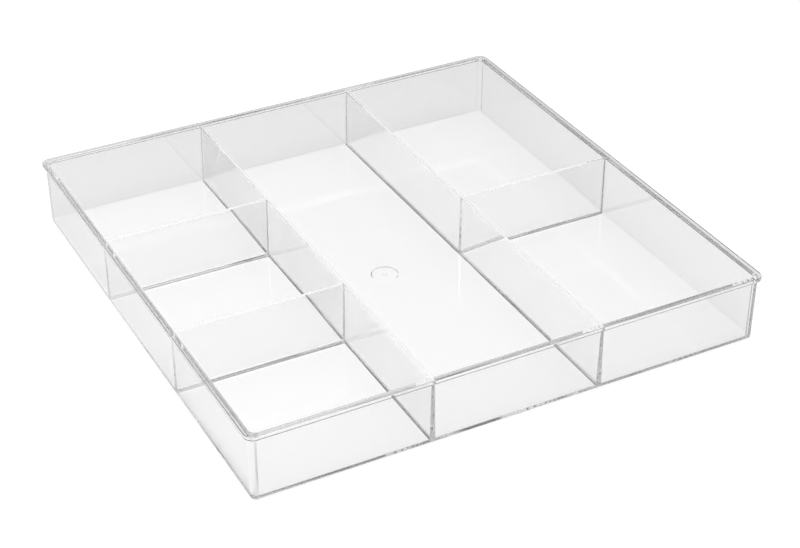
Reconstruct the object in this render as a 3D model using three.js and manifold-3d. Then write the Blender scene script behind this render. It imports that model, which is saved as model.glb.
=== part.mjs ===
// Clear drawer organizer: a shallow square moulded tray with a rim bead, divided into six compartments
// by two long dividers and three cross dividers that stand on its floor.
// Millimetres. +Z is up, +X is right and -Y is the front. The origin is under the tray's centre.

import * as THREE from 'three';
import { mergeVertices, toCreasedNormals } from 'three/addons/utils/BufferGeometryUtils.js';
import Module from 'manifold-3d';

// The tray as a whole
const RIM_SIZE = 381; // outside of the rim bead, both ways
const HEIGHT = 50.8; // underside to rim top
const DRAFT = THREE.MathUtils.degToRad(0.3); // the walls lean out by this much, inside and outside

// Shell
const WALL = 2; // wall thickness
const FLOOR = 2.2; // floor thickness, which is also the height that the dividers stand on
const CORNER_RADIUS = 4; // vertical corners of the outer wall, at the rim
const INNER_CORNER_RADIUS = 4.5; // vertical corners of the inner wall, at the rim
const BASE_EDGE_RADIUS = 1.8; // round edge between the underside and the walls
const FLOOR_FILLET = 2.5; // inside, between the floor and the walls

// Rim bead, which stands out from the wall all round
const BEAD_OUT = 2.2;
const BEAD_HEIGHT = 3.2;
const BEAD_TOP_RADIUS = 0.5;
const BEAD_UNDER_RADIUS = 0.6;
const BEAD_ROOT_RADIUS = 0.4; // hollow fillet where the bead's underside meets the wall
const RIM_INNER_RADIUS = 1.2; // round edge of the mouth

// Moulding gate, a shallow recess at the centre of the underside with the trimmed gate stub in it
const GATE_RADIUS = 10;
const GATE_DEPTH = 0.8;
const GATE_EDGE_RUN = 0.5; // how far the recess's side slopes in
const GATE_STUB_RADIUS = 1.6;
const GATE_STUB_RECESS = 0.3; // the stub stops this far above the underside

// Dividers: drafted plates with eased top edges and a hollow fillet along each side of the foot
const RIM_TO_DIVIDER = 1.6; // the divider tops lie this far below the rim top
const DIVIDER_TOP_HALF = 0.85; // half of the thickness at the top
const DIVIDER_FOOT_HALF = 1.75; // half of the thickness above the foot fillet
const DIVIDER_TOP_RADIUS = 0.3;
const FOOT_FILLET = 1.2;
const FOOT_LAND = 0.2; // upright edge at the foot of the fillet
const BOND_GAP = 0.3; // bond line between a divider's end and what it meets

// Layout: three equal columns, the left one with three equal compartments and the right one with two
const COLUMNS = 3;
const LEFT_ROWS = 3;

// Facets
const ARC_STEPS = 3; // half of the steps along a round edge
const CORNER_STEPS = 5; // half of the steps round a vertical corner
const GATE_SIDES = 40;
const CREASE = THREE.MathUtils.degToRad(35);

// Values that follow from the driving dimensions
const OUTER_HALF = RIM_SIZE / 2 - BEAD_OUT; // outer wall from the centre, at the rim
const CORNER_CENTRE = OUTER_HALF - CORNER_RADIUS;
const INNER_CORNER_CENTRE = OUTER_HALF - WALL - INNER_CORNER_RADIUS;
const LEAN = Math.tan(DRAFT);
const DIVIDER_TOP = HEIGHT - RIM_TO_DIVIDER;
const WALL_INSET_AT_BASE = (HEIGHT - BASE_EDGE_RADIUS) * LEAN;
const WALL_INSET_AT_FLOOR = WALL + (HEIGHT - FLOOR - FLOOR_FILLET) * LEAN;
const INNER_HALF = OUTER_HALF - WALL_INSET_AT_FLOOR;
const CELL_PITCH = 2 * (INNER_HALF + DIVIDER_FOOT_HALF) / COLUMNS;
const ROW_PITCH = 2 * (INNER_HALF + DIVIDER_FOOT_HALF) / LEFT_ROWS;
const LONG_DIVIDER_X = CELL_PITCH / 2;
const CROSS_DIVIDER_Y = ROW_PITCH / 2;

const QUARTER = Math.PI / 2;
const MARGIN = 1; // how far the cutting bodies reach past the faces that they cut
const wasm = await Module();
wasm.setup();

// The tray's plan, a rounded square that lies inset from the outer wall at the rim, as points in order.
// The centres of its corners lie at cornerCentre, so the corners tighten as the inset grows.
function planOutline(inset, cornerCentre) {
  const outline = new THREE.Path();
  const radius = OUTER_HALF - cornerCentre - inset;
  const corners = [[1, 1], [-1, 1], [-1, -1], [1, -1]];
  corners.forEach(([sideX, sideY], turn) => {
    const start = turn * QUARTER;
    outline.absarc(sideX * cornerCentre, sideY * cornerCentre, radius, start, start + QUARTER, false);
  });
  return outline.getPoints(CORNER_STEPS);
}

// A closed body from a wall section swept round the plan. A section point is (inset, height), and the flat
// caps lie inside its first and last points.
function sweepRoundPlan(section, cornerCentre) {
  const rings = section.getPoints(ARC_STEPS).map((point) =>
    planOutline(point.x, cornerCentre).map((corner) => new THREE.Vector3(corner.x, corner.y, point.y)));
  const count = rings[0].length;
  const last = (rings.length - 1) * count;
  const bottomCentre = rings.length * count;
  const topCentre = bottomCentre + 1;
  const points = rings.flat();
  points.push(new THREE.Vector3(0, 0, rings[0][0].z));
  points.push(new THREE.Vector3(0, 0, rings.at(-1)[0].z));

  const faces = [];
  for (let step = 0; step < count; step += 1) {
    const next = (step + 1) % count;
    faces.push(bottomCentre, next, step);
    faces.push(topCentre, last + step, last + next);
    for (let ring = 0; ring < last; ring += count) {
      faces.push(ring + step, ring + next, ring + count + next);
      faces.push(ring + step, ring + count + next, ring + count + step);
    }
  }
  return new THREE.BufferGeometry().setFromPoints(points).setIndex(faces);
}

// Underside, base edge, outer wall and rim bead, in that order
function outsideSection() {
  const section = new THREE.Path();
  const beadFoot = HEIGHT - BEAD_HEIGHT;
  section.absarc(WALL_INSET_AT_BASE + BASE_EDGE_RADIUS, BASE_EDGE_RADIUS, BASE_EDGE_RADIUS,
    -QUARTER, -2 * QUARTER, true);
  section.absarc(-BEAD_ROOT_RADIUS, beadFoot - BEAD_ROOT_RADIUS, BEAD_ROOT_RADIUS, 0, QUARTER, false);
  section.absarc(BEAD_UNDER_RADIUS - BEAD_OUT, beadFoot + BEAD_UNDER_RADIUS, BEAD_UNDER_RADIUS,
    -QUARTER, -2 * QUARTER, true);
  section.absarc(BEAD_TOP_RADIUS - BEAD_OUT, HEIGHT - BEAD_TOP_RADIUS, BEAD_TOP_RADIUS,
    2 * QUARTER, QUARTER, true);
  return section;
}

// The space inside the walls: floor, floor fillet, inner wall and the mouth's round edge, in that order
function insideSection() {
  const section = new THREE.Path();
  const mouthInset = WALL - RIM_INNER_RADIUS;
  section.absarc(WALL_INSET_AT_FLOOR + FLOOR_FILLET, FLOOR + FLOOR_FILLET, FLOOR_FILLET,
    -QUARTER, -2 * QUARTER, true);
  section.absarc(mouthInset, HEIGHT - RIM_INNER_RADIUS, RIM_INNER_RADIUS, 0, QUARTER, false);
  section.lineTo(mouthInset, HEIGHT + MARGIN);
  return section;
}

// The same space, smaller by the bond line, from below the floor to above the rim, which the dividers fill
function dividerSpaceSection() {
  const section = new THREE.Path();
  const filletEnd = WALL_INSET_AT_FLOOR + FLOOR_FILLET;
  section.moveTo(filletEnd, FLOOR - MARGIN);
  section.lineTo(filletEnd, FLOOR + BOND_GAP);
  section.absarc(filletEnd, FLOOR + FLOOR_FILLET, FLOOR_FILLET - BOND_GAP, -QUARTER, -2 * QUARTER, true);
  section.lineTo(WALL - MARGIN * LEAN + BOND_GAP, HEIGHT + MARGIN);
  return section;
}

// Section of a divider, as (across, height). extra widens it on both sides, and rise lifts its top.
function dividerSection(extra = 0, rise = 0) {
  const section = new THREE.Shape();
  const footHalf = DIVIDER_FOOT_HALF + FOOT_FILLET + extra;
  const filletHeight = FLOOR + FOOT_LAND + FOOT_FILLET;
  const roundHalf = DIVIDER_TOP_HALF + extra - DIVIDER_TOP_RADIUS;
  const roundHeight = DIVIDER_TOP + rise - DIVIDER_TOP_RADIUS;
  section.moveTo(footHalf, FLOOR);
  section.lineTo(footHalf, FLOOR + FOOT_LAND);
  section.absarc(footHalf, filletHeight, FOOT_FILLET, -QUARTER, -2 * QUARTER, true);
  section.absarc(roundHalf, roundHeight, DIVIDER_TOP_RADIUS, 0, QUARTER, false);
  section.absarc(-roundHalf, roundHeight, DIVIDER_TOP_RADIUS, QUARTER, 2 * QUARTER, false);
  section.absarc(-footHalf, filletHeight, FOOT_FILLET, 0, -QUARTER, true);
  section.lineTo(-footHalf, FLOOR);
  return section;
}

// A bar of that section, centred on x = 0 and running along Y between two ends
function dividerBar(section, yFrom, yTo) {
  const bar = new THREE.ExtrudeGeometry(section, {
    depth: yTo - yFrom,
    bevelEnabled: false,
    curveSegments: ARC_STEPS,
  });
  return bar.rotateX(QUARTER).translate(0, yTo, 0);
}

// The gate's recess as a turned body, with its stub left standing
function gateCutter() {
  const profile = [
    [0, -MARGIN],
    [GATE_RADIUS, -MARGIN],
    [GATE_RADIUS, 0],
    [GATE_RADIUS - GATE_EDGE_RUN, GATE_DEPTH],
    [GATE_STUB_RADIUS, GATE_DEPTH],
    [GATE_STUB_RADIUS, GATE_STUB_RECESS],
    [0, GATE_STUB_RECESS],
  ];
  const points = profile.map(([radius, height]) => new THREE.Vector2(radius, height));
  return new THREE.LatheGeometry(points, GATE_SIDES).rotateX(QUARTER);
}

// Closed geometry to solid, for cutting
function toSolid(geometry) {
  const bare = geometry.clone();
  bare.deleteAttribute('normal');
  bare.deleteAttribute('uv');
  const merged = mergeVertices(bare);
  const vertProperties = new Float32Array(merged.attributes.position.array);
  const triVerts = new Uint32Array(merged.index.array);
  return new wasm.Manifold(new wasm.Mesh({ numProp: 3, vertProperties, triVerts }));
}

// Solid back to geometry, with its edges kept crisp
function toGeometry(solid) {
  const { vertProperties, triVerts } = solid.getMesh();
  const geometry = new THREE.BufferGeometry();
  geometry.setAttribute('position', new THREE.BufferAttribute(vertProperties, 3));
  geometry.setIndex(new THREE.BufferAttribute(triVerts, 1));
  return toCreasedNormals(geometry, CREASE);
}

// Clear moulded plastic
function clearPlastic() {
  return new THREE.MeshStandardMaterial({
    color: 0xf1f5f6,
    roughness: 0.06,
    metalness: 0,
    transparent: true,
    opacity: 0.3,
  });
}

function piece(name, solid) {
  const mesh = new THREE.Mesh(toGeometry(solid), clearPlastic());
  mesh.name = name;
  return mesh;
}

const dividerSpace = toSolid(sweepRoundPlan(dividerSpaceSection(), INNER_CORNER_CENTRE));

// The moulded shell: the outside body, hollowed out, with the gate cut into its underside
function trayShell() {
  const outside = toSolid(sweepRoundPlan(outsideSection(), CORNER_CENTRE));
  const inside = toSolid(sweepRoundPlan(insideSection(), INNER_CORNER_CENTRE));
  return piece('tray_shell', outside.subtract(inside).subtract(toSolid(gateCutter())));
}

// A divider from the front wall to the rear wall, whose ends follow the walls and the floor fillet
function longDivider(name, x) {
  const bar = dividerBar(dividerSection(), -OUTER_HALF, OUTER_HALF).translate(x, 0, 0);
  return piece(name, toSolid(bar).intersect(dividerSpace));
}

// A divider from a side wall to the long divider at longX, whose inner end follows that divider's side
function crossDivider(name, longX, y) {
  const reach = Math.sign(longX) * OUTER_HALF;
  const bar = dividerBar(dividerSection(), Math.min(longX, reach), Math.max(longX, reach));
  bar.rotateZ(-QUARTER).translate(0, y, 0);
  const neighbour = dividerBar(dividerSection(BOND_GAP, RIM_TO_DIVIDER), -OUTER_HALF, OUTER_HALF);
  neighbour.translate(longX, 0, 0);
  return piece(name, toSolid(bar).intersect(dividerSpace).subtract(toSolid(neighbour)));
}

const organizer = new THREE.Group();
organizer.name = 'drawer_organizer';
organizer.add(
  trayShell(),
  longDivider('long_divider_left', -LONG_DIVIDER_X),
  longDivider('long_divider_right', LONG_DIVIDER_X),
  crossDivider('cross_divider_left_rear', -LONG_DIVIDER_X, CROSS_DIVIDER_Y),
  crossDivider('cross_divider_left_front', -LONG_DIVIDER_X, -CROSS_DIVIDER_Y),
  crossDivider('cross_divider_right', LONG_DIVIDER_X, 0),
);

export default organizer;
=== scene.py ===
# Clear drawer organizer: the moulded tray and its five dividers in clear plastic, on a white studio table.
# Metres. +Z is up, +X is right and -Y is the front, as in the frame.

from collections import namedtuple
from math import atan2, cos, pi, radians, sin, sqrt, tan

import bpy
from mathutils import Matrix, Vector


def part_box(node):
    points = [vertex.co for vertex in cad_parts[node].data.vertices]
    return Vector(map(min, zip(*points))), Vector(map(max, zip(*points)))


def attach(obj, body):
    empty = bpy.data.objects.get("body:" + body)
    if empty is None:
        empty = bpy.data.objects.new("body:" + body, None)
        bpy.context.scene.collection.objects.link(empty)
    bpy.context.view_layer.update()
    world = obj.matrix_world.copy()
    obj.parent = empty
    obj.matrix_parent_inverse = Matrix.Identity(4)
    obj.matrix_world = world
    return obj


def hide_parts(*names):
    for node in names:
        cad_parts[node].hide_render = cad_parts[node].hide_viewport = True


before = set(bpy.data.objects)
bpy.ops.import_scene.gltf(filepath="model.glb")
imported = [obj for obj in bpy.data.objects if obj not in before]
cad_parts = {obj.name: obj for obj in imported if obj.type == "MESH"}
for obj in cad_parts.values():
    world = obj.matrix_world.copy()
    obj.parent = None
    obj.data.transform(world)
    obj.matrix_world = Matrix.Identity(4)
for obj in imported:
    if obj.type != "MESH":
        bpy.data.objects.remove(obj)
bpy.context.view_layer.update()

MM = 0.001
QUARTER = pi / 2
WHITE = (1.0, 1.0, 1.0, 1.0)

# Pieces, which are also the names of the nodes that they replace
TRAY = "tray_shell"
LEFT = "long_divider_left"
RIGHT = "long_divider_right"
LEFT_REAR = "cross_divider_left_rear"
LEFT_FRONT = "cross_divider_left_front"
RIGHT_CROSS = "cross_divider_right"
LONG_DIVIDERS = (LEFT, RIGHT)
CROSS_DIVIDERS = (LEFT_REAR, LEFT_FRONT, RIGHT_CROSS)
DIVIDERS = LONG_DIVIDERS + CROSS_DIVIDERS

# What stands at each compartment's rear, left, front and right
COMPARTMENTS = (
    (TRAY, TRAY, LEFT_REAR, LEFT),
    (LEFT_REAR, TRAY, LEFT_FRONT, LEFT),
    (LEFT_FRONT, TRAY, TRAY, LEFT),
    (TRAY, LEFT, TRAY, RIGHT),
    (TRAY, RIGHT, RIGHT_CROSS, TRAY),
    (RIGHT_CROSS, RIGHT, TRAY, TRAY),
)

# Sizes read from the frame
TRAY_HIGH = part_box(TRAY)[1]
RIM_HALF = TRAY_HIGH.x
HEIGHT = TRAY_HIGH.z
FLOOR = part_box(LEFT)[0].z
DIVIDER_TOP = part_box(LEFT)[1].z
MIDDLE = {name: (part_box(name)[0].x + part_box(name)[1].x) / 2 for name in LONG_DIVIDERS}
MIDDLE.update({name: (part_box(name)[0].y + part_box(name)[1].y) / 2 for name in CROSS_DIVIDERS})

# Shell sizes
DRAFT = radians(0.3)
WALL = 2.3 * MM
CORNER_RADIUS = 4.0 * MM
INNER_CORNER_RADIUS = 4.5 * MM
BASE_EDGE_RADIUS = 1.8 * MM
FLOOR_FILLET = 0.7 * MM
BEAD_OUT = 2.5 * MM
BEAD_HEIGHT = 3.2 * MM
BEAD_TOP_RADIUS = 0.8 * MM
BEAD_UNDER_RADIUS = 0.6 * MM
BEAD_ROOT_RADIUS = 0.4 * MM
RIM_INNER_RADIUS = 1.5 * MM

# Moulding gate under the floor's centre
GATE_RADIUS = 10.0 * MM
GATE_DEPTH = 0.8 * MM
GATE_EDGE_RUN = 0.5 * MM
GATE_EDGE_RADIUS = 0.2 * MM
GATE_STUB_RADIUS = 1.6 * MM
GATE_STUB_RECESS = 0.3 * MM

# Divider sizes
DIVIDER_TOP_HALF = 0.85 * MM
DIVIDER_FOOT_HALF = 1.75 * MM
DIVIDER_TOP_RADIUS = 0.5 * MM
FOOT_FILLET = 1.2 * MM
CROSS_FOOT_FILLET = 2.0 * MM
SEAM_RADIUS = 0.5 * MM

# Steps along the round parts
FILLET_STEPS = 8
TOP_STEPS = 6
CORNER_STEPS = 12
SECTION_STEPS = 8

# Values that follow
OUTER_HALF = RIM_HALF - BEAD_OUT
CORNER_CENTRE = OUTER_HALF - CORNER_RADIUS
INNER_CORNER_CENTRE = OUTER_HALF - WALL - INNER_CORNER_RADIUS
LEAN = tan(DRAFT)
ROUND_START = DIVIDER_TOP - DIVIDER_TOP_RADIUS

# Camera of the photograph
CAMERA_AZIMUTH = radians(-27.82)
CAMERA_ELEVATION = radians(32.91)
CAMERA_DISTANCE = 1.3482
CAMERA_AIM = Vector((10.1 * MM, -4.5 * MM, 1.0 * MM))
CAMERA_LENS = 83.79
SENSOR_WIDTH = 36.0

# Plastic. Its haze is a roughness that grows as the noise goes from HAZE_START to HAZE_FULL
PLASTIC_COLOUR = (0.94, 0.94, 0.94, 1.0)
PLASTIC_IOR = 1.59
NOISE_DETAIL = 1.0
HAZE_SCALE = 60.0
HAZE_START = 0.3
HAZE_FULL = 0.7
HAZE_LOW = 0.005
HAZE_HIGH = 0.03
WAVE_SCALE = 35.0
WAVE_HEIGHT = 0.02 * MM

# Table, with the glow that the camera sees, and the painted light that the plastic shows: a pool under the
# tray and a lower level around it, which blend over GLOW_EDGE at either side of the wall's outer face
TABLE_HALF = 1.5
TABLE_GAP = 0.3 * MM
TABLE_COLOUR = (0.4, 0.4, 0.4, 1.0)
TABLE_GLOW = 0.85
PAINTED_LIGHT_UNDER_TRAY = 0.99
PAINTED_LIGHT_AROUND = 0.68
GLOW_EDGE = 4 * MM

# Change of that painted light in a metre: to the right everywhere, and to the rear around the tray
GLOW_TO_RIGHT = -0.15
GLOW_TO_REAR = -0.26

# Painted contact shadow in that painted light, along the front and left base edges. It grows towards the
# front from SHADE_START to SHADE_FULL, which are distances ahead of the tray's centre
SHADE = 0.4
SHADE_INNER_RUN = 3 * MM
SHADE_OUTER_RUN = 8 * MM
SHADE_START = -20 * MM
SHADE_FULL = 150 * MM

# Room: a soft light overhead, by elevation, one at the front right, and a backdrop low at the rear right.
# The edges and cores of the last two are values of x - y and x + y along a unit direction
ROOM_LEVEL = 0.15
OVERHEAD_LEVEL = 1.2
OVERHEAD_EDGE = radians(45)
OVERHEAD_CORE = radians(65)
SIDE_LEVEL = 0.4
SIDE_EDGE = 0.45
SIDE_CORE = 1.0
BACKDROP_LEVEL = 1.2
BACKDROP_EDGE = 0.3
BACKDROP_CORE = 0.9
BACKDROP_FADE = radians(6)
BACKDROP_TOP = radians(12)

# How often light may turn on its way through the walls
BOUNCES = 128

# A compartment's ring at one height: how far the wall's face lies from the tray's centre there,
# and the face of a long or cross divider from the divider's own middle
Level = namedtuple("Level", "height wall long cross")


def wall_face(height):
    """Distance of the wall's inner face from the tray's centre."""
    return OUTER_HALF - WALL - (HEIGHT - height) * LEAN


def fillet_run(rise, radius):
    """How far a hollow fillet still stands out from its face at a height above the floor."""
    if rise >= radius:
        return 0.0
    return radius - sqrt(radius ** 2 - (radius - rise) ** 2)


def compartment_levels():
    """The rings of a compartment from its floor up: fillets, straight faces and the eased top edge."""
    rises = set()
    for radius in (FLOOR_FILLET, FOOT_FILLET, CROSS_FOOT_FILLET):
        for step in range(FILLET_STEPS + 1):
            rises.add(radius * (1 - cos(QUARTER * step / FILLET_STEPS)))
    levels = []
    for rise in sorted(rises):
        height = FLOOR + rise
        wall = min(wall_face(height), wall_face(FLOOR + FLOOR_FILLET)) - fillet_run(rise, FLOOR_FILLET)
        long = DIVIDER_FOOT_HALF + fillet_run(rise, FOOT_FILLET)
        cross = DIVIDER_FOOT_HALF + fillet_run(rise, CROSS_FOOT_FILLET)
        levels.append(Level(height, wall, long, cross))
    for step in range(TOP_STEPS + 1):
        turn = QUARTER * step / TOP_STEPS
        height = ROUND_START + DIVIDER_TOP_RADIUS * sin(turn)
        half = DIVIDER_TOP_HALF - DIVIDER_TOP_RADIUS * (1 - cos(turn))
        levels.append(Level(height, wall_face(height), half, half))
    return levels


def side_position(piece, sign, level):
    """Coordinate of a compartment's side: the wall, or the near face of a divider."""
    if piece == TRAY:
        return sign * level.wall
    half = level.cross if piece in CROSS_DIVIDERS else level.long
    return MIDDLE[piece] - sign * half


def compartment_ring(sides, level):
    """Points round a compartment at one level, anticlockwise from the right rear corner."""
    rear = side_position(sides[0], 1, level)
    left = side_position(sides[1], -1, level)
    front = side_position(sides[2], -1, level)
    right = side_position(sides[3], 1, level)
    points = []
    for corner in range(4):
        radius = SEAM_RADIUS
        if sides[corner - 1] == sides[corner] == TRAY:
            radius = level.wall - INNER_CORNER_CENTRE
        x = right - radius if corner in (0, 3) else left + radius
        y = rear - radius if corner in (0, 1) else front + radius
        for step in range(CORNER_STEPS + 1):
            angle = (corner + step / CORNER_STEPS) * QUARTER
            points.append(Vector((x + radius * cos(angle), y + radius * sin(angle), level.height)))
    return points


def arc(across, height, radius, start, end):
    """Points of a round edge in a section, as (inset from the outer wall at the rim, height)."""
    turns = (start + (end - start) * step / SECTION_STEPS for step in range(SECTION_STEPS + 1))
    return [(across + radius * cos(turn), height + radius * sin(turn)) for turn in turns]


def mouth_section():
    """Section of the mouth's eased edge, from the inner wall to the rim's top."""
    return arc(WALL - RIM_INNER_RADIUS, HEIGHT - RIM_INNER_RADIUS, RIM_INNER_RADIUS, 0, QUARTER)


def outside_section():
    """Section of the outside: bead, outer wall and base edge, in that order."""
    bead_foot = HEIGHT - BEAD_HEIGHT
    base_inset = (HEIGHT - BASE_EDGE_RADIUS) * LEAN
    section = arc(BEAD_TOP_RADIUS - BEAD_OUT, HEIGHT - BEAD_TOP_RADIUS, BEAD_TOP_RADIUS,
                  QUARTER, 2 * QUARTER)
    section += arc(BEAD_UNDER_RADIUS - BEAD_OUT, bead_foot + BEAD_UNDER_RADIUS, BEAD_UNDER_RADIUS,
                   2 * QUARTER, 3 * QUARTER)
    section += arc(-BEAD_ROOT_RADIUS, bead_foot - BEAD_ROOT_RADIUS, BEAD_ROOT_RADIUS, QUARTER, 0)
    section += arc(base_inset + BASE_EDGE_RADIUS, BASE_EDGE_RADIUS, BASE_EDGE_RADIUS,
                   2 * QUARTER, 3 * QUARTER)
    return section


def gate_section():
    """Section of the moulding gate, as (radius, height): the recess's side, its roof and the stub."""
    side = GATE_RADIUS - GATE_EDGE_RUN
    ease = GATE_EDGE_RADIUS
    return [
        (GATE_RADIUS + ease, 0),
        (GATE_RADIUS, ease / 2),
        (side, GATE_DEPTH - ease / 2),
        (side - ease, GATE_DEPTH),
        (GATE_STUB_RADIUS + ease, GATE_DEPTH),
        (GATE_STUB_RADIUS, GATE_DEPTH - ease),
        (GATE_STUB_RADIUS, GATE_STUB_RECESS + ease),
        (GATE_STUB_RADIUS - ease, GATE_STUB_RECESS),
    ]


def chain(edges):
    """The loop that a set of directed edges makes, as its corners in order."""
    start = min(edges)
    loop = [start]
    while edges[loop[-1]] != start:
        loop.append(edges[loop[-1]])
    return loop


def corner_owner(before, after):
    """The piece that the rounded corner between two sides belongs to: the one whose end it is."""
    for group in (CROSS_DIVIDERS, LONG_DIVIDERS):
        for piece in (before, after):
            if piece in group:
                return piece
    return TRAY


Face = namedtuple("Face", "corners piece is_joint")


class Moulding:
    """The whole moulding's skin: points that its faces share, and for each face the piece that has it.
    Where two pieces meet, a joint face closes both of them."""

    def __init__(self):
        self.points = []
        self.faces = []
        self.rim = {}
        self.tops = {name: {} for name in DIVIDERS}
        self.feet = {name: {} for name in DIVIDERS}
        self.seams = {}

    def ring(self, points):
        """Adds points to the skin, as their numbers in it."""
        first = len(self.points)
        self.points.extend(points)
        return list(range(first, len(self.points)))

    def face(self, corners, piece):
        self.faces.append(Face(corners, piece, False))

    def joint(self, corners, carrier, carried):
        """The face of both pieces where one of them carries the other."""
        self.faces.append(Face(corners, carrier, True))
        self.faces.append(Face(corners[::-1], carried, True))

    def edge(self, piece, start, end):
        """Notes the top and foot of a piece between two columns of points round a compartment."""
        if piece == TRAY:
            self.rim[start[-1]] = end[-1]
        else:
            self.tops[piece][end[-1]] = start[-1]
            self.feet[piece][end[0]] = start[0]

    def compartment(self, sides, levels):
        """The floor and the faces round one compartment, and the seams at its corners."""
        rings = [self.ring(compartment_ring(sides, level)) for level in levels]
        columns = list(zip(*rings))
        self.face(rings[0], TRAY)
        arc_points = CORNER_STEPS + 1
        for index, start in enumerate(columns):
            end = columns[(index + 1) % len(columns)]
            corner, step = divmod(index, arc_points)
            if step < CORNER_STEPS:
                piece = corner_owner(sides[corner - 1], sides[corner])
            else:
                piece = sides[corner]
            for low in range(len(levels) - 1):
                self.face([start[low], start[low + 1], end[low + 1], end[low]], piece)
            self.edge(piece, start, end)
        for corner in range(4):
            before, after = sides[corner - 1], sides[corner]
            owner = corner_owner(before, after)
            if owner != before:
                self.seam(owner, before, (corner - 1) % 4)["first"] = columns[corner * arc_points]
            if owner != after:
                self.seam(owner, after, corner)["second"] = columns[corner * arc_points + CORNER_STEPS]

    def seam(self, carried, carrier, side):
        """The seam where a divider's end meets what carries it: a column of points at each side of it."""
        return self.seams.setdefault((carried, carrier, side), {})

    def divider_ends(self):
        """Joints between the columns of each seam."""
        for (carried, carrier, _), seam in self.seams.items():
            first, second = seam["first"], seam["second"]
            for low in range(len(first) - 1):
                self.joint([first[low], first[low + 1], second[low + 1], second[low]], carrier, carried)
            self.edge(carrier, first, second)
            self.tops[carried][first[-1]] = second[-1]
            self.feet[carried][first[0]] = second[0]

    def divider_tops_and_feet(self):
        for name in DIVIDERS:
            self.face(chain(self.tops[name]), name)
            self.joint(chain(self.feet[name]), TRAY, name)

    def band(self, lower, upper):
        """Faces between two rings of the tray, where the second follows the first along the section."""
        count = len(lower)
        for index in range(count):
            after = (index + 1) % count
            self.face([lower[index], upper[index], upper[after], lower[after]], TRAY)

    def rim_and_outside(self):
        """The tray from its inner walls' top over the rim, down the outside and under to the centre."""
        ring = chain(self.rim)
        places = []
        for index in ring:
            flat = self.points[index].to_2d()
            core = Vector([max(-INNER_CORNER_CENTRE, min(INNER_CORNER_CENTRE, value)) for value in flat])
            places.append((core, (flat - core).normalized()))
        spread = CORNER_CENTRE / INNER_CORNER_CENTRE
        rounds = [(1, INNER_CORNER_RADIUS + WALL - inset, height) for inset, height in mouth_section()]
        rounds += [(spread, CORNER_RADIUS - inset, height) for inset, height in outside_section()]
        for scale, radius, height in rounds:
            lift = Vector((0, 0, height))
            upper = self.ring([(core * scale + out * radius).to_3d() + lift for core, out in places])
            self.band(ring, upper)
            ring = upper
        first_out = places[0][1]
        self.underside(ring, atan2(first_out.y, first_out.x))

    def underside(self, ring, start):
        """The flat underside within a ring, and the gate at its centre. Rings begin at the start angle."""
        turns = [start + 2 * pi * index / len(ring) for index in range(len(ring))]
        for radius, height in gate_section():
            upper = self.ring([Vector((radius * cos(turn), radius * sin(turn), height)) for turn in turns])
            self.band(ring, upper)
            ring = upper
        self.face(ring[::-1], TRAY)

    def area_vector(self, corners):
        """A face's normal, as long as twice its area."""
        total = Vector()
        for index, corner in enumerate(corners):
            total += self.points[corners[index - 1]].cross(self.points[corner])
        return total

    def normals(self):
        """Smooth normals of the whole skin, where flat faces outweigh the round edges beside them."""
        normals = [Vector() for _ in self.points]
        for face in self.faces:
            if not face.is_joint:
                weight = self.area_vector(face.corners)
                for corner in face.corners:
                    normals[corner] += weight
        return [normal.normalized() for normal in normals]


def moulding():
    """The skin of the tray and its dividers."""
    skin = Moulding()
    levels = compartment_levels()
    for sides in COMPARTMENTS:
        skin.compartment(sides, levels)
    skin.divider_ends()
    skin.divider_tops_and_feet()
    skin.rim_and_outside()
    return skin


def piece_object(skin, normals, name, materials):
    """One closed piece of the moulding, with the whole skin's smooth normals."""
    faces = [face for face in skin.faces if face.piece == name]
    used = sorted({corner for face in faces for corner in face.corners})
    place = {corner: index for index, corner in enumerate(used)}
    mesh = bpy.data.meshes.new(name + "_visual")
    mesh.from_pydata([skin.points[corner] for corner in used], [],
                     [[place[corner] for corner in face.corners] for face in faces])
    for material in materials:
        mesh.materials.append(material)
    mesh.polygons.foreach_set("material_index", [int(face.is_joint) for face in faces])
    mesh.polygons.foreach_set("use_smooth", [True] * len(faces))
    corner_normals = []
    for face in faces:
        flat = skin.area_vector(face.corners).normalized()
        corner_normals += [flat if face.is_joint else normals[corner] for corner in face.corners]
    mesh.normals_split_custom_set(corner_normals)
    piece = bpy.data.objects.new(name + "_visual", mesh)
    bpy.context.scene.collection.objects.link(piece)
    return piece


def node_material(name):
    material = bpy.data.materials.new(name)
    material.use_nodes = True
    return material, material.node_tree.nodes, material.node_tree.links


def maths(nodes, links, operation, *values):
    """A math node whose inputs are sockets or plain numbers, as its output."""
    node = nodes.new("ShaderNodeMath")
    node.operation = operation
    for index, value in enumerate(values):
        if isinstance(value, bpy.types.NodeSocket):
            links.new(value, node.inputs[index])
        else:
            node.inputs[index].default_value = value
    return node.outputs[0]


def smooth_range(nodes, links, value, start, end, low, high):
    """A soft step of value from low at start to high at end."""
    node = nodes.new("ShaderNodeMapRange")
    node.interpolation_type = "SMOOTHSTEP"
    links.new(value, node.inputs["Value"])
    for name, number in (("From Min", start), ("From Max", end), ("To Min", low), ("To Max", high)):
        node.inputs[name].default_value = number
    return node.outputs["Result"]


def noise(nodes, links, place, scale):
    """Soft noise in space, as its output."""
    node = nodes.new("ShaderNodeTexNoise")
    node.inputs["Scale"].default_value = scale
    node.inputs["Detail"].default_value = NOISE_DETAIL
    links.new(place, node.inputs["Vector"])
    return node.outputs["Fac"]


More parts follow.
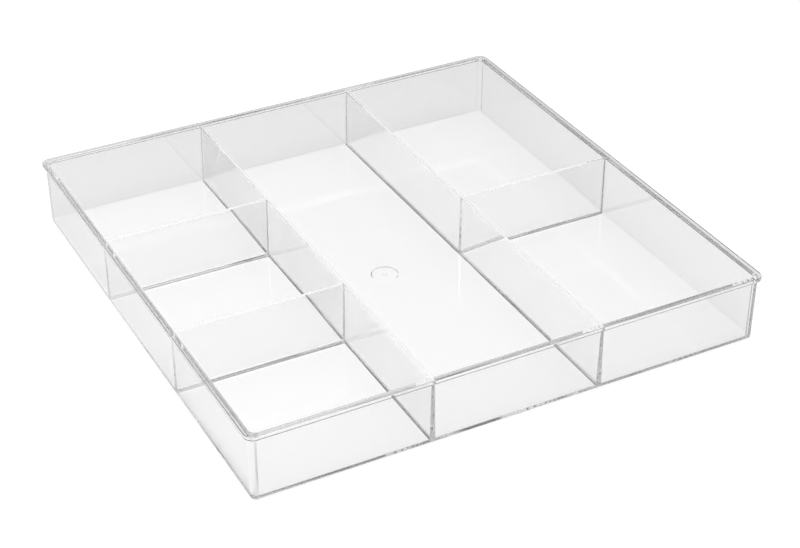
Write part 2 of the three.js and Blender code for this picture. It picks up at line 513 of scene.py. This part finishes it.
def clear_plastic():
    """Polished clear plastic with the faint haze and waviness of a moulding."""
    material, nodes, links = node_material("clear_plastic")
    shader = nodes["Principled BSDF"]
    shader.inputs["Base Color"].default_value = PLASTIC_COLOUR
    shader.inputs["IOR"].default_value = PLASTIC_IOR
    shader.inputs["Transmission Weight"].default_value = 1.0
    place = nodes.new("ShaderNodeTexCoord").outputs["Object"]
    haze = noise(nodes, links, place, HAZE_SCALE)
    roughness = smooth_range(nodes, links, haze, HAZE_START, HAZE_FULL, HAZE_LOW, HAZE_HIGH)
    links.new(roughness, shader.inputs["Roughness"])
    bump = nodes.new("ShaderNodeBump")
    bump.inputs["Strength"].default_value = 1.0
    bump.inputs["Distance"].default_value = WAVE_HEIGHT
    links.new(noise(nodes, links, place, WAVE_SCALE), bump.inputs["Height"])
    links.new(bump.outputs["Normal"], shader.inputs["Normal"])
    return material


def fused_joint():
    """The inside of the moulding where two pieces are fused: light crosses it unchanged."""
    material, nodes, links = node_material("fused_joint")
    nodes.remove(nodes["Principled BSDF"])
    clear = nodes.new("ShaderNodeBsdfTransparent")
    links.new(clear.outputs[0], nodes["Material Output"].inputs["Surface"])
    return material


def painted_tray_light(nodes, links, right, rear):
    """Painted light on the table that the plastic shows: a pool under the tray and a lower level around it.
    """
    across = maths(nodes, links, "ABSOLUTE", right)
    along = maths(nodes, links, "ABSOLUTE", rear)
    reach = maths(nodes, links, "MAXIMUM", across, along)
    around = smooth_range(nodes, links, reach, OUTER_HALF - GLOW_EDGE, OUTER_HALF + GLOW_EDGE, 0.0, 1.0)
    change = maths(nodes, links, "MULTIPLY_ADD", rear, GLOW_TO_REAR, PAINTED_LIGHT_AROUND - PAINTED_LIGHT_UNDER_TRAY)
    light = maths(nodes, links, "MULTIPLY_ADD", around, change, PAINTED_LIGHT_UNDER_TRAY)
    return maths(nodes, links, "MULTIPLY_ADD", right, GLOW_TO_RIGHT, light)


def painted_base_shade(nodes, links, right, rear):
    """Painted contact shadow on the table along the tray's front and left base edges, strongest near the
    front.
    """
    ahead = maths(nodes, links, "MULTIPLY", rear, -1.0)
    leftward = maths(nodes, links, "MULTIPLY", right, -1.0)
    outward = maths(nodes, links, "MAXIMUM", ahead, leftward)
    near = smooth_range(nodes, links, ahead, SHADE_START, SHADE_FULL, 0.0, SHADE)
    inner_half = OUTER_HALF - WALL
    rise = smooth_range(nodes, links, outward, inner_half - SHADE_INNER_RUN, inner_half, 0.0, 1.0)
    fall = smooth_range(nodes, links, outward, OUTER_HALF, OUTER_HALF + SHADE_OUTER_RUN, 1.0, 0.0)
    strip = maths(nodes, links, "MULTIPLY", rise, fall)
    return maths(nodes, links, "MULTIPLY", strip, near)


def table_material():
    """A table that is white to the camera. The plastic shows a painted pool of light on it, which is the
    tray's painted light less the painted shade at its base."""
    material, nodes, links = node_material("table")
    material.cycles.emission_sampling = "NONE"
    shader = nodes["Principled BSDF"]
    shader.inputs["Base Color"].default_value = TABLE_COLOUR
    shader.inputs["Roughness"].default_value = 1.0
    shader.inputs["Specular IOR Level"].default_value = 0.0
    shader.inputs["Emission Color"].default_value = WHITE
    place = nodes.new("ShaderNodeTexCoord")
    axes = nodes.new("ShaderNodeSeparateXYZ")
    links.new(place.outputs["Object"], axes.inputs[0])
    right, rear = axes.outputs["X"], axes.outputs["Y"]
    # Painted light and painted shade on the table, which only the plastic shows
    light = painted_tray_light(nodes, links, right, rear)
    shade = painted_base_shade(nodes, links, right, rear)
    pool = maths(nodes, links, "SUBTRACT", light, shade)
    ray = nodes.new("ShaderNodeLightPath").outputs
    through = maths(nodes, links, "MAXIMUM", ray["Is Transmission Ray"], ray["Is Glossy Ray"])
    in_plastic = maths(nodes, links, "MULTIPLY", through, pool)
    glow = maths(nodes, links, "MULTIPLY_ADD", ray["Is Camera Ray"], TABLE_GLOW, in_plastic)
    links.new(glow, shader.inputs["Emission Strength"])
    return material


def table():
    """The table's top, just under the tray."""
    mesh = bpy.data.meshes.new("table")
    signs = ((-1, -1), (1, -1), (1, 1), (-1, 1))
    corners = [(x * TABLE_HALF, y * TABLE_HALF, -TABLE_GAP) for x, y in signs]
    mesh.from_pydata(corners, [], [(0, 1, 2, 3)])
    mesh.materials.append(table_material())
    top = bpy.data.objects.new("table", mesh)
    bpy.context.scene.collection.objects.link(top)


def studio_world():
    """A dim room with a wide soft light overhead, one at the front right and a pale backdrop low at the
    rear right. It is white where the camera sees it."""
    world = bpy.data.worlds.new("studio")
    bpy.context.scene.world = world
    world.use_nodes = True
    nodes, links = world.node_tree.nodes, world.node_tree.links
    room = nodes["Background"]
    room.inputs["Color"].default_value = WHITE
    direction = nodes.new("ShaderNodeTexCoord")
    axes = nodes.new("ShaderNodeSeparateXYZ")
    links.new(direction.outputs["Generated"], axes.inputs[0])
    level = smooth_range(nodes, links, axes.outputs["Z"], sin(OVERHEAD_EDGE), sin(OVERHEAD_CORE),
                         ROOM_LEVEL, OVERHEAD_LEVEL)
    front_right = maths(nodes, links, "SUBTRACT", axes.outputs["X"], axes.outputs["Y"])
    side = smooth_range(nodes, links, front_right, SIDE_EDGE, SIDE_CORE, 0.0, SIDE_LEVEL)
    lamps = maths(nodes, links, "ADD", level, side)
    rear_right = maths(nodes, links, "ADD", axes.outputs["X"], axes.outputs["Y"])
    backdrop = smooth_range(nodes, links, rear_right, BACKDROP_EDGE, BACKDROP_CORE, 0.0, BACKDROP_LEVEL)
    low = smooth_range(nodes, links, axes.outputs["Z"], sin(BACKDROP_FADE), sin(BACKDROP_TOP), 1.0, 0.0)
    links.new(maths(nodes, links, "MULTIPLY_ADD", backdrop, low, lamps), room.inputs["Strength"])
    white = nodes.new("ShaderNodeBackground")
    white.inputs["Color"].default_value = WHITE
    mix = nodes.new("ShaderNodeMixShader")
    path = nodes.new("ShaderNodeLightPath")
    links.new(path.outputs["Is Camera Ray"], mix.inputs["Fac"])
    links.new(room.outputs[0], mix.inputs[1])
    links.new(white.outputs[0], mix.inputs[2])
    links.new(mix.outputs[0], nodes["World Output"].inputs["Surface"])


def direction_to(azimuth, elevation):
    """Unit vector to a place round the tray. Azimuth 0 is the front, and it grows towards the right."""
    return Vector((sin(azimuth) * cos(elevation), -cos(azimuth) * cos(elevation), sin(elevation)))


def camera():
    """The photograph's camera, aimed at a point near the tray's centre."""
    data = bpy.data.cameras.new("camera")
    data.lens = CAMERA_LENS
    data.sensor_width = SENSOR_WIDTH
    data.sensor_fit = "HORIZONTAL"
    back = direction_to(CAMERA_AZIMUTH, CAMERA_ELEVATION)
    holder = bpy.data.objects.new("camera", data)
    holder.location = CAMERA_AIM + back * CAMERA_DISTANCE
    holder.rotation_euler = back.to_track_quat("Z", "Y").to_euler()
    bpy.context.scene.collection.objects.link(holder)
    bpy.context.scene.camera = holder


def render_settings():
    """Plain colours, and enough bounces for light to cross all the walls."""
    scene = bpy.context.scene
    scene.view_settings.view_transform = "Standard"
    scene.cycles.max_bounces = BOUNCES
    scene.cycles.transmission_bounces = BOUNCES
    scene.cycles.glossy_bounces = BOUNCES
    scene.cycles.transparent_max_bounces = 2 * BOUNCES


skin = moulding()
normals = skin.normals()
materials = (clear_plastic(), fused_joint())
for name in (TRAY,) + DIVIDERS:
    piece = piece_object(skin, normals, name, materials)
    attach(piece, "root")
    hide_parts(name)
table()
studio_world()
camera()
render_settings()
